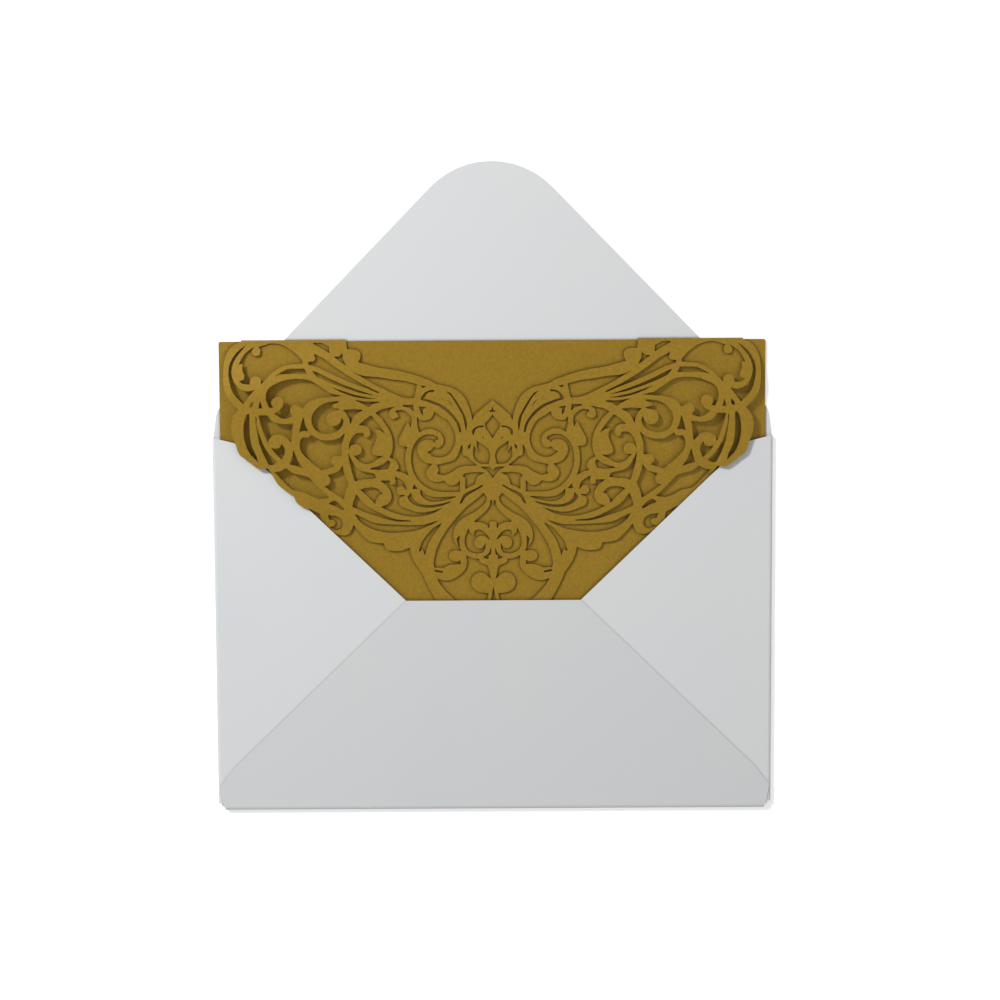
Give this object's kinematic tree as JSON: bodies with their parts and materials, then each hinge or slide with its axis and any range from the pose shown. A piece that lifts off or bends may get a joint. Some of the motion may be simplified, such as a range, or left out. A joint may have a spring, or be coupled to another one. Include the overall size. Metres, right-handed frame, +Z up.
{
  "type": "die-cut invitation card with envelope",
  "caption": "Laser-cut folded card with a scrollwork lace front, half drawn out of an open paper envelope that lies flat with its pointed flap spread.",
  "frame": {"origin": "middle of the footprint, on the surface that the envelope lies on", "axes": "+Z up off the paper, +Y from the pocket to the tip of the open flap, +X to the right as seen from above"},
  "size_m": [0.185, 0.215, 0.0044],
  "materials": {
    "white_paper": "smooth uncoated",
    "gold_card": "pearlescent satin"
  },
  "bodies": {
    "root": {"envelope": "white_paper", "invitation_card": "gold_card"}
  },
  "joints": []
}
